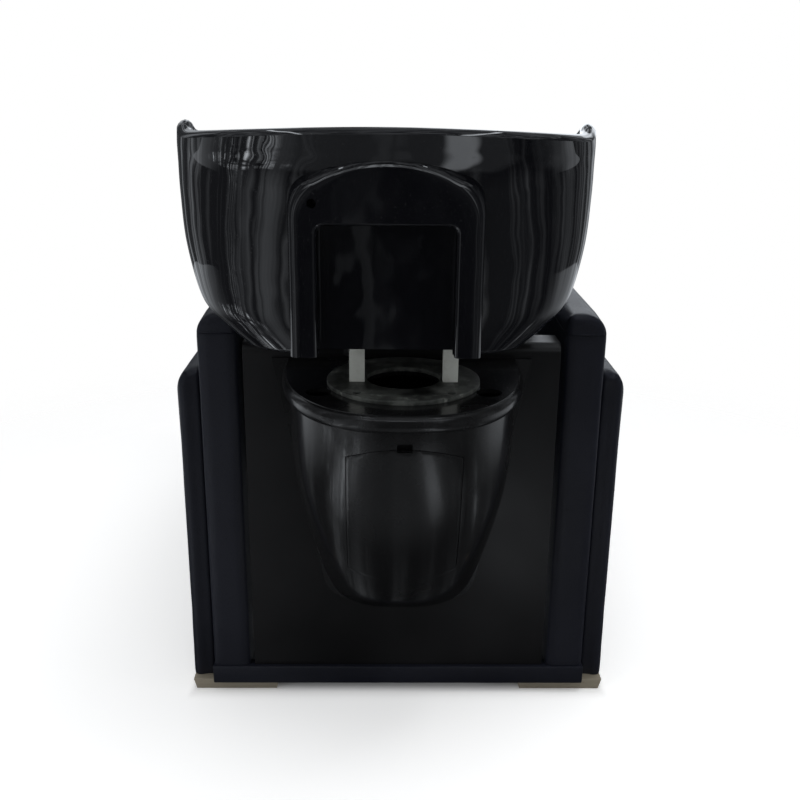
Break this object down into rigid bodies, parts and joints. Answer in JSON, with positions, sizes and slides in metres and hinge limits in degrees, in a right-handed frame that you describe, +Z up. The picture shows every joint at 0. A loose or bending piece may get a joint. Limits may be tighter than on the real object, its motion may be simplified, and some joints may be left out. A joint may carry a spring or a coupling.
{
  "type": "backwash unit",
  "caption": "Salon backwash unit: glossy tilting shampoo bowl on a plumbing pod with an access hatch, behind an upholstered armchair on metal feet.",
  "frame": {"origin": "on the floor under the middle of the whole unit", "axes": "+Z up, +Y towards the client's feet, the hairdresser's side faces -Y, +X to the right seen from there"},
  "size_m": [0.7058, 1.24, 0.9428],
  "materials": {
    "bowl_glaze": "mirror gloss black glaze",
    "pod_gloss": "moulded gloss black",
    "panel_satin": "moulded satin black",
    "leatherette": "black leatherette, fine grain",
    "post_white": "off-white powder coat",
    "gasket_grey": "worn mottled grey",
    "foot_metal": "brushed, warm tint",
    "zinc": "zinc plated",
    "black_steel": "black paint",
    "plywood": "bare birch ply",
    "chrome_trim": "polished",
    "black_rubber": "soft matt black",
    "black_plastic": "moulded, matt"
  },
  "bodies": {
    "unit": {"pod_shell": "pod_gloss", "back_panel": "panel_satin", "left_arm_cover": "leatherette", "right_arm_cover": "leatherette", "left_arm_cap": "leatherette", "right_arm_cap": "leatherette", "left_side_panel": "leatherette", "right_side_panel": "leatherette", "seat_cushion": "leatherette", "back_cushion": "leatherette", "front_panel": "leatherette", "rear_plinth_rail": "leatherette", "front_plinth_rail": "leatherette", "left_plinth_rail": "leatherette", "right_plinth_rail": "leatherette", "left_tilt_post": "post_white", "right_tilt_post": "post_white", "deck_gasket": "gasket_grey", "rear_left_foot": "foot_metal", "rear_right_foot": "foot_metal", "front_left_foot": "foot_metal", "front_right_foot": "foot_metal", "foot_bolts": "zinc", "pod_bolts": "zinc", "post_bolts": "zinc", "hatch_hinge_pin": "zinc", "left_rear_upright": "black_steel", "right_rear_upright": "black_steel", "upper_cross_tube": "black_steel", "lower_cross_tube": "black_steel", "catch_bracket": "black_steel", "left_arm_core": "plywood", "right_arm_core": "plywood", "seat_board": "plywood", "back_board": "plywood", "left_seat_rail": "plywood", "right_seat_rail": "plywood", "catch_magnet": "black_plastic"},
    "bowl": {"bowl": "bowl_glaze", "neck_rest": "black_rubber", "waste_flange": "chrome_trim", "waste_seal": "black_rubber", "waste_nut": "black_plastic", "bowl_saddle": "black_steel", "left_pivot_pin": "zinc", "right_pivot_pin": "zinc"},
    "hatch": {"access_hatch": "pod_gloss", "catch_strike_plate": "zinc"},
    "strainer": {"waste_strainer": "chrome_trim"}
  },
  "joints": [
    {"name": "bowl_tilt", "type": "hinge", "parent": "unit", "child": "bowl", "pos_m": [0, -0.46, 0.64], "axis": [1, 0, 0], "range_deg": [-2, 10]},
    {"name": "hatch_hinge", "type": "hinge", "parent": "unit", "child": "hatch", "pos_m": [0, -0.452, 0.29], "axis": [1, 0, 0], "range_deg": [0, 45]},
    {"name": "strainer_lift", "type": "slide", "parent": "bowl", "child": "strainer", "axis": [0, 0, 1], "range_m": [0, 0.08]}
  ]
}
